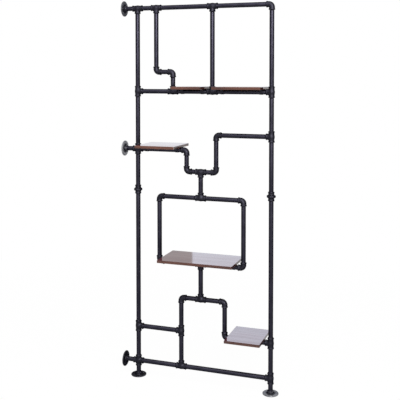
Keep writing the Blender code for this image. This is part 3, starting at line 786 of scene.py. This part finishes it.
def screw_tree():
    """The tree that puts a round screw head with a cross slot on each point, facing down."""
    tree, given, out = new_group("GeometryNodeTree", "strap_screws", {
        "Places": GEOMETRY, "Head Radius": SCREW_RADIUS, "Head Rise": SCREW_RISE,
        "Slot Width": SLOT_WIDTH, "Slot Length": SLOT_LENGTH, "Slot Depth": SLOT_DEPTH,
        "Voxel": SCREW_VOXEL, "Material": MATERIAL,
    }, {"Geometry": GEOMETRY})
    x, y, z = coordinates(tree)
    # The head is the cap of a ball.
    wide, rise = given["Head Radius"], given["Head Rise"]
    ball_radius = (wide * wide + rise * rise) / (rise * 2.0)
    ball = length_of(length_of(x, y), z - ball_radius + rise) - ball_radius
    half_width, half_length = given["Slot Width"] * 0.5, given["Slot Length"] * 0.5
    bars = [
        (across.size() - half_width).larger(along.size() - half_length)
        for across, along in ((x, y), (y, x))]
    slot = bars[0].smaller(bars[1]).larger(z + rise - given["Slot Depth"])
    shape = ball.larger(z).larger(-slot)
    room = given["Voxel"] * VOXELS_AROUND
    side = wide + room
    low = (-side, -side, -(rise + room))
    head = surface(tree, shape, low, (side, side, room), given["Voxel"])
    heads = add_node(tree, "GeometryNodeInstanceOnPoints", {
        "Points": given["Places"], "Instance": head})
    return finished(tree, given, out, heads.outputs[0])


# Objects and meshes

def new_object(name, data):
    """A new object in the scene."""
    made = bpy.data.objects.new(name, data)
    bpy.context.scene.collection.objects.link(made)
    return made


def mesh_from(shape, name):
    """A mesh of what was built with bmesh."""
    mesh = bpy.data.meshes.new(name)
    shape.to_mesh(mesh)
    shape.free()
    return mesh


def baked(start, *steps):
    """The plain mesh that modifiers make of a mesh. A step is a kind and its settings."""
    seed = new_object("seed", start)
    for kind, settings in steps:
        modifier = seed.modifiers.new(kind.lower(), kind)
        for name, value in settings.items():
            if name.startswith("Socket"):
                modifier[name] = value
            else:
                setattr(modifier, name, value)
    graph = bpy.context.evaluated_depsgraph_get()
    mesh = bpy.data.meshes.new_from_object(seed.evaluated_get(graph))
    bpy.data.objects.remove(seed)
    return mesh


def grown(tree, material, share_kept=1.0, start=None):
    """The plain mesh that a tree makes, thinned to a share of its faces."""
    settings = {"node_group": tree}
    for item in tree.interface.items_tree:
        if item.name == "Material" and item.in_out == "INPUT":
            settings[item.identifier] = material
    steps = [("NODES", settings)]
    if share_kept < 1.0:
        steps.append(("DECIMATE", {"ratio": share_kept}))
    return baked(start or bpy.data.meshes.new("seed"), *steps)


# Pieces

def add_piece(name, mesh, slot, *nodes):
    """A finished piece, which rides on the one body and stands for the nodes named."""
    mesh.name = name
    piece = new_object(name, mesh)
    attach(piece, "root")
    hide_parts(*nodes)
    return piece


def placed(mesh, centre, turn):
    """A copy of a mesh, turned about the Y axis and moved to its centre."""
    copy = mesh.copy()
    copy.transform(Matrix.Translation(centre) @ Matrix.Rotation(turn, 4, "Y"))
    return copy


def turn_to(way):
    """The turn about the Y axis that brings the way to the right round to another way."""
    right, up = ARM_WAYS[way]
    return -math.atan2(up, right)


def centre_of(node, arms):
    """Where the arms of a fitting meet, from its box and from where its arms point."""
    low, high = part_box(node)
    centre = (low + high) / 2
    for axis, forward, backward in ((X, "right", "left"), (Z, "up", "down")):
        if forward in arms and backward not in arms:
            centre[axis] = high[axis] - REACH
        if backward in arms and forward not in arms:
            centre[axis] = low[axis] + REACH
    return centre


# Which way the fittings point. A tee is given its branch, and an elbow its two arms, first the
# one that is turned there from the right.
TEES = {
    "tee_left_post_upper_shelf": "right", "tee_left_post_bar": "right",
    "tee_right_post_upper_shelf": "left", "tee_right_post_rail": "left",
    "tee_right_post_lower_shelf": "left", "tee_right_post_base": "left",
    "tee_top_left_post": "down", "tee_top_left_drop": "down", "tee_top_centre_drop": "down",
    "tee_upper_shelf_hanger": "up", "tee_upper_shelf_centre": "up",
    "tee_loop_top": "up", "tee_loop_bottom": "down", "tee_left_bar": "left",
    "tee_base_rail": "up",
}
ELBOWS = {
    "elbow_top_corner": ("left", "down"), "elbow_right_rail": ("down", "right"),
    "elbow_loop_top_left": ("down", "right"), "elbow_loop_top_right": ("left", "down"),
    "elbow_loop_bottom_left": ("right", "up"), "elbow_loop_bottom_right": ("up", "left"),
    "elbow_lower_shelf": ("right", "up"),
}
CROSSES = ("cross_middle", "cross_bottom")
UNIONS = ("union_left", "union_right")

# Which way each flange opens, and how strong the painted reflection on its plate is.
FLANGES = {
    "foot_flange_left": ("up", 0.06), "foot_flange_right": ("up", 0.48),
    "wall_flange_top": ("right", 0.24), "wall_flange_middle": ("right", 0.58),
    "wall_flange_bottom": ("right", 0.04),
}


def tee_arms(branch):
    """The arms of a tee: its branch, and a run square to it."""
    return (branch, "up", "down") if branch in ("left", "right") else (branch, "left", "right")


# Where each fitting is, how it is turned, and its node where that has another name.
place, turn_of, node_of = {}, {}, {}
for name in (*CROSSES, *UNIONS):
    place[name] = middle(name)
    turn_of[name] = 0.0
for name, branch in TEES.items():
    place[name] = centre_of(name, tee_arms(branch))
    turn_of[name] = turn_to(branch)
for name, arms in ELBOWS.items():
    place[name] = centre_of(name, arms)
    turn_of[name] = turn_to(arms[0])
for name, (way, painted_sheen) in FLANGES.items():
    back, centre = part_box(name)[0], middle(name)
    place[name] = Vector((centre.x, 0, back.z) if way == "up" else (back.x, 0, centre.z))

# The fittings within the three joined bends: the bend's node, the place on X and on Z, and the
# branch of a tee or the first arm of an elbow.
OFFSET_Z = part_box("left_drop")[0].z - STOP
TRAP_LEFT_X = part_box("middle_shelf_rail")[1].x + STOP
TRAP_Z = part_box("right_riser")[0].z - STOP
BRIDGE_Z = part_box("bridge_left_leg")[1].z + STOP
STEM_X = middle("lower_stem").x
MIDDLE_Z = place["cross_middle"].z
BEND_TEES = {
    "trap_tee": ("middle_trap_bend", STEM_X, TRAP_Z, "down"),
    "bridge_tee": ("bridge_bend", STEM_X, BRIDGE_Z, "up"),
}
BEND_ELBOWS = {
    "offset_elbow_upper": ("left_offset_bend", middle("left_drop").x, OFFSET_Z, "right"),
    "offset_elbow_lower": (
        "left_offset_bend", place["tee_upper_shelf_hanger"].x, OFFSET_Z, "left"),
    "trap_elbow_shelf": ("middle_trap_bend", TRAP_LEFT_X, MIDDLE_Z, "left"),
    "trap_elbow_left": ("middle_trap_bend", TRAP_LEFT_X, TRAP_Z, "right"),
    "trap_elbow_right": ("middle_trap_bend", middle("right_riser").x, TRAP_Z, "up"),
    "bridge_elbow_left": ("bridge_bend", middle("bridge_left_leg").x, BRIDGE_Z, "down"),
    "bridge_elbow_right": ("bridge_bend", middle("bridge_right_leg").x, BRIDGE_Z, "left"),
}
for name, (node, x, z, way) in {**BEND_TEES, **BEND_ELBOWS}.items():
    place[name] = Vector((x, 0, z))
    turn_of[name] = turn_to(way)
    node_of[name] = node

# The real pipes of each node: each run is screwed into the fittings named, one after another.
# The trap's stem is a run of its own in the same node.
node_of["middle_trap_bend_stem"] = "middle_trap_bend"
RUNS = {
    "left_post_lower": ("foot_flange_left", "cross_bottom", "tee_left_post_bar", "union_left"),
    "left_post_upper": (
        "union_left", "cross_middle", "tee_left_post_upper_shelf", "tee_top_left_post"),
    "right_post_lower": (
        "foot_flange_right", "tee_right_post_base", "tee_right_post_lower_shelf",
        "union_right"),
    "right_post_upper": (
        "union_right", "tee_right_post_rail", "tee_right_post_upper_shelf",
        "elbow_top_corner"),
    "top_rail": (
        "wall_flange_top", "tee_top_left_post", "tee_top_left_drop", "tee_top_centre_drop",
        "elbow_top_corner"),
    "left_drop": ("offset_elbow_upper", "tee_top_left_drop"),
    "centre_drop": ("tee_upper_shelf_centre", "tee_top_centre_drop"),
    "left_offset_bend": ("offset_elbow_upper", "offset_elbow_lower", "tee_upper_shelf_hanger"),
    "upper_shelf_rail": (
        "tee_left_post_upper_shelf", "tee_upper_shelf_hanger", "tee_upper_shelf_centre",
        "tee_right_post_upper_shelf"),
    "wall_flange_middle": ("wall_flange_middle", "cross_middle"),
    "middle_shelf_rail": ("cross_middle", "trap_elbow_shelf"),
    "middle_trap_bend": (
        "trap_elbow_shelf", "trap_elbow_left", "trap_tee", "trap_elbow_right"),
    "middle_trap_bend_stem": ("trap_tee", "tee_loop_top"),
    "right_riser": ("trap_elbow_right", "elbow_right_rail"),
    "right_rail": ("elbow_right_rail", "tee_right_post_rail"),
    "loop_top_pipe": ("elbow_loop_top_left", "tee_loop_top", "elbow_loop_top_right"),
    "loop_left_pipe": ("elbow_loop_bottom_left", "elbow_loop_top_left"),
    "loop_right_pipe": ("elbow_loop_bottom_right", "elbow_loop_top_right"),
    "loop_bottom_pipe": (
        "elbow_loop_bottom_left", "tee_loop_bottom", "elbow_loop_bottom_right"),
    "lower_stem": ("bridge_tee", "tee_loop_bottom"),
    "bridge_bend": ("bridge_elbow_left", "bridge_tee", "bridge_elbow_right"),
    "bridge_left_leg": ("tee_base_rail", "tee_left_bar", "bridge_elbow_left"),
    "bridge_right_leg": ("elbow_lower_shelf", "bridge_elbow_right"),
    "left_bar": ("tee_left_post_bar", "tee_left_bar"),
    "lower_shelf_rail": ("elbow_lower_shelf", "tee_right_post_lower_shelf"),
    "wall_flange_bottom": ("wall_flange_bottom", "cross_bottom"),
    "base_rail": ("cross_bottom", "tee_base_rail", "tee_right_post_base"),
}


def mouth_of(name):
    """How far a fitting's mouth is from its place."""
    if name in UNIONS:
        return UNION_LENGTH / 2
    return FLANGE_HEIGHT if name in FLANGES else REACH


def run_lines(stops):
    """One edge for each pipe of a run, between the inner ends of its threads."""
    lines = bmesh.new()
    for start, end in zip(stops, stops[1:]):
        way = (place[end] - place[start]).normalized()
        first = place[start] + way * (mouth_of(start) + THREAD_SHOWN)
        last = place[end] - way * (mouth_of(end) + THREAD_SHOWN)
        lines.edges.new((lines.verts.new(first), lines.verts.new(last)))
    return mesh_from(lines, "lines")


def fitting_mesh(kind, *arms):
    """The mesh of a cast fitting with its arms as they point before it is turned."""
    return grown(fitting_tree(kind, arms), FITTING_BLACK, CAST_SHARE_KEPT)


tee_mesh = fitting_mesh("tee", "right", "up", "down")
cross_mesh = fitting_mesh("cross", "right", "left", "up", "down")
elbow_mesh = fitting_mesh("elbow", "right", "up")
union_mesh = grown(union_tree(), UNION_BLACK, CAST_SHARE_KEPT)
flange_mesh = grown(flange_tree(), FITTING_BLACK, FLANGE_SHARE_KEPT)
CASTINGS = (
    (tee_mesh, "fitting_black", (*TEES, *BEND_TEES)),
    (elbow_mesh, "fitting_black", (*ELBOWS, *BEND_ELBOWS)),
    (cross_mesh, "fitting_black", CROSSES),
    (union_mesh, "union_black", UNIONS),
)
for kind_mesh, slot, names in CASTINGS:
    for name in names:
        mesh = placed(kind_mesh, place[name], turn_of[name])
        add_piece("cast_" + name, mesh, slot, node_of.get(name, name))

for name, (way, painted_sheen) in FLANGES.items():
    mesh = placed(flange_mesh, place[name], math.pi / 2 if way == "right" else 0.0)
    # Each flange has its own material, with its own strength of painted reflection on the plate.
    black = black_iron(
        "black_" + name, CAST_COLOUR, CAST_WORN, roughness=0.38, grain_height=0.00010,
        patches=30.0)
    mesh.materials.clear()
    mesh.materials.append(paint_plate_sheen(black, place[name], painted_sheen))
    add_piece("cast_" + name, mesh, "flange_black", name)

PIPE_TREE = pipe_tree()
for name, stops in RUNS.items():
    mesh = grown(PIPE_TREE, PIPE_BLACK, start=run_lines(stops))
    add_piece("pipe_" + name, mesh, "pipe_black", node_of.get(name, name))


# Boards and straps

# The rail that each board lies on, and how much painted shade darkens it, for the less light it
# gets.
BOARDS = {
    "shelf_upper_left": ("upper_shelf_rail", 0.10),
    "shelf_upper_right": ("upper_shelf_rail", 0.0),
    "shelf_middle": ("middle_shelf_rail", 0.0),
    "shelf_centre": ("loop_bottom_pipe", 0.30),
    "shelf_lower_right": ("lower_shelf_rail", 0.60),
}

# How high these rails run.
RAIL_Z = {
    "upper_shelf_rail": place["tee_upper_shelf_centre"].z, "middle_shelf_rail": MIDDLE_Z,
    "loop_bottom_pipe": place["tee_loop_bottom"].z,
    "lower_shelf_rail": place["elbow_lower_shelf"].z,
}

# How far a board's grain is moved for each metre of its place, so that no two are alike.
GRAIN_SHIFT = (7, 5, 3)


def board_mesh(node):
    """A board with its edges eased, as large as its node."""
    low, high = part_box(node)
    board = bmesh.new()
    bmesh.ops.create_cube(board, size=1)
    bmesh.ops.scale(board, vec=high - low, verts=board.verts)
    bmesh.ops.translate(board, vec=(low + high) / 2, verts=board.verts)
    mesh = mesh_from(board, node)
    mesh.shade_smooth()
    return baked(mesh, ("BEVEL", {
        "width": BOARD_EDGE_ROUND, "segments": BOARD_EDGE_STEPS, "harden_normals": True}))


def quarter_turn(steps):
    """The sine and the cosine at each step of a quarter turn."""
    angles = [math.pi / 2 * step / steps for step in range(steps + 1)]
    return [(math.sin(angle), math.cos(angle)) for angle in angles]


def strap_outline(seat):
    """Half of a strap's middle line, from below the pipe to the tip of an ear, as (y, z)."""
    radius = PIPE_RADIUS + STRAP_THICKNESS / 2
    level = seat - STRAP_THICKNESS / 2
    points = [(radius * sine, -radius * cosine) for sine, cosine in quarter_turn(STRAP_SEGMENTS)]
    corner = (radius + STRAP_ROUND, level - STRAP_ROUND)
    for sine, cosine in quarter_turn(STRAP_SEGMENTS // 2):
        points.append((corner[0] - STRAP_ROUND * cosine, corner[1] + STRAP_ROUND * sine))
    for sine, cosine in quarter_turn(STRAP_SEGMENTS)[:-1]:
        points.append((STRAP_TIP_START + STRAP_WIDTH / 2 * sine, level))
    return points


def strap_mesh(x, rail_z, seat):
    """A strap round the underside of a pipe, with an ear on each side that has a round end."""
    half = strap_outline(seat)
    strap = bmesh.new()
    rows = []
    for y, z in [(-y, z) for y, z in reversed(half[1:])] + half:
        beyond = max(0.0, abs(y) - STRAP_TIP_START)
        wide = math.sqrt((STRAP_WIDTH / 2) ** 2 - beyond ** 2)
        rows.append([strap.verts.new((x + side * wide, y, rail_z + z)) for side in (-1, 1)])
    for first, second in zip(rows, rows[1:]):
        strap.faces.new((first[0], first[1], second[1], second[0]))
    bmesh.ops.recalc_face_normals(strap, faces=strap.faces)
    mesh = mesh_from(strap, "strap")
    mesh.shade_smooth()
    return baked(
        mesh, ("SOLIDIFY", {"thickness": STRAP_THICKNESS, "offset": 0.0}),
        ("BEVEL", {
            "width": STRAP_EDGE_ROUND, "segments": STRAP_EDGE_STEPS, "harden_normals": True}))


SCREW_TREE = screw_tree()
board_pieces = []
for board, (rail, painted_shade) in BOARDS.items():
    low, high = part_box(board)
    mesh = board_mesh(board)
    shift = [step * far for step, far in zip(GRAIN_SHIFT, (low.z, low.x, low.x))]
    mesh.materials.append(lacquered_walnut("walnut_" + board, shift, painted_shade))
    board_pieces.append(add_piece("walnut_" + board, mesh, "shelf_walnut", board))
    seat = low.z - SEAT_GAP - RAIL_Z[rail]
    screws = bmesh.new()
    for side, x in (("left", low.x + STRAP_INSET), ("right", high.x - STRAP_INSET)):
        mesh = strap_mesh(x, RAIL_Z[rail], seat)
        mesh.materials.append(STRAP_BLACK)
        add_piece("strap_{}_{}".format(board, side), mesh, "pipe_black", rail)
        for y in (STRAP_SCREW_FROM_TIP - STRAP_TIP, STRAP_TIP - STRAP_SCREW_FROM_TIP):
            screws.verts.new((x, y, low.z - SEAT_GAP - STRAP_THICKNESS))
    mesh = grown(SCREW_TREE, SCREW_STEEL, SCREW_SHARE_KEPT, mesh_from(screws, "screws"))
    add_piece("screws_" + board, mesh, "pipe_black", rail)


# Stage, light and camera

def seen_white(tree):
    """One for what the camera, a reflection or glass sees, and nothing for the rest."""
    rays = add_node(tree, "ShaderNodeLightPath").outputs
    seen = Field(tree, rays["Is Camera Ray"]).larger(rays["Is Glossy Ray"])
    return seen.larger(rays["Is Transmission Ray"])


world = bpy.data.worlds.new("studio")
bpy.context.scene.world = world
world.use_nodes = True
background = world.node_tree.nodes["Background"]
seen = seen_white(world.node_tree)
fill(world.node_tree, background.inputs["Color"], (*WHITE, 1))
fill(world.node_tree, background.inputs["Strength"], seen * (1 - AMBIENT) + AMBIENT)

plane = bmesh.new()
bmesh.ops.create_grid(plane, x_segments=1, y_segments=1, size=FLOOR_REACH)
bmesh.ops.translate(plane, vec=(0, 0, -FLOOR_GAP), verts=plane.verts)
floor = new_object("floor", mesh_from(plane, "floor"))
material = bpy.data.materials.new("floor")
material.use_nodes = True
tree = material.node_tree
tree.nodes.clear()
paint = add_node(tree, "ShaderNodeBsdfDiffuse", {"Color": (*FLOOR_COLOUR, 1)})
glow = add_node(tree, "ShaderNodeEmission", {"Color": (*WHITE, 1), "Strength": 1.0})
away = Field(tree, add_node(tree, "ShaderNodeVectorMath", {
    0: place_of(tree)}, operation="LENGTH").outputs["Value"])
share = ramp(tree, away, GLOW_NEAR, GLOW_FAR) * (1 - FLOOR_GLOW) + FLOOR_GLOW
both = add_node(tree, "ShaderNodeMixShader", {
    0: seen_white(tree) * share, 1: paint.outputs[0], 2: glow.outputs[0]})
add_node(tree, "ShaderNodeOutputMaterial", {"Surface": both.outputs[0]})
floor.data.materials.append(material)


def add_lamp(name, size, power, spread, colour, position, target):
    """A soft lamp, aimed at a target, which the camera doesn't see."""
    light = bpy.data.lights.new(name, "AREA")
    light.color = colour
    light.shape = "RECTANGLE"
    light.size, light.size_y = size
    light.energy = power
    light.spread = math.radians(spread)
    lamp = new_object(name, light)
    lamp.location = position
    aim = Vector(target) - Vector(position)
    lamp.rotation_euler = aim.to_track_quat("-Z", "Y").to_euler()
    lamp.visible_camera = False
    return lamp


def light_boards(lamp, state):
    """Let a lamp light the boards alone, or all but the boards."""
    boards = bpy.data.collections.new("boards_under_" + lamp.name)
    for piece in board_pieces:
        boards.objects.link(piece)
    for entry in boards.collection_objects:
        entry.light_linking.link_state = state
    lamp.light_linking.receiver_collection = boards


for facts in LAMPS:
    lamp = add_lamp(*facts)
    if lamp.name in BOARD_LIGHT:
        light_boards(lamp, BOARD_LIGHT[lamp.name])

lens = bpy.data.cameras.new("camera")
lens.lens = LENS
lens.sensor_width = SENSOR
lens.shift_y = CAMERA_SHIFT_Y
camera = new_object("camera", lens)
camera.location = CAMERA_PLACE
camera.rotation_euler = (math.pi / 2 - CAMERA_PITCH, 0, CAMERA_YAW)
bpy.context.scene.camera = camera
bpy.context.scene.view_settings.view_transform = "Standard"
